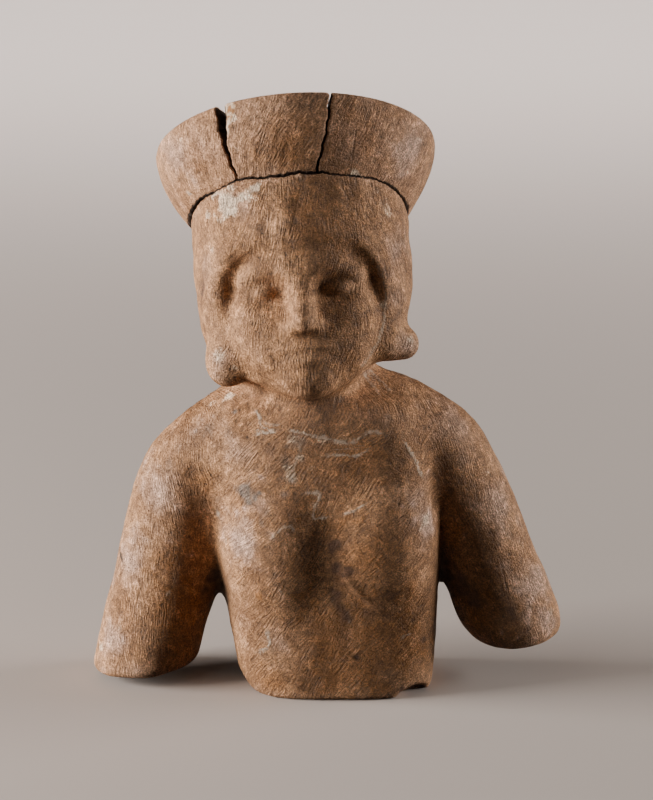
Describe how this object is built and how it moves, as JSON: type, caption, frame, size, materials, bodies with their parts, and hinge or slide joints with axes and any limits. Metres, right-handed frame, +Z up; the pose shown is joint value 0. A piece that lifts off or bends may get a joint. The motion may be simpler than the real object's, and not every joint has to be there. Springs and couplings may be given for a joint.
{
  "type": "fired-clay fertility figure fragment",
  "caption": "Hand-modelled fired-clay bust of a woman, broken at the waist and upper arms, with a flared headdress refitted from sherds.",
  "frame": {"origin": "middle of the flat broken underside that the figure stands on", "axes": "+Z up, the figure faces -Y, and +X is the figure's own left"},
  "size_m": [0.0975, 0.0604, 0.1242],
  "materials": {
    "body_clay": "fired tan clay, wiped smooth, satin, with dark stains and pale root marks",
    "headdress_clay": "fired tan clay, wiped smooth, satin, with paler worn edges and open broken edges"
  },
  "bodies": {
    "root": {"figure": "body_clay", "headdress_left_sherd": "headdress_clay", "headdress_middle_sherd": "headdress_clay", "headdress_right_sherd": "headdress_clay"}
  },
  "joints": []
}
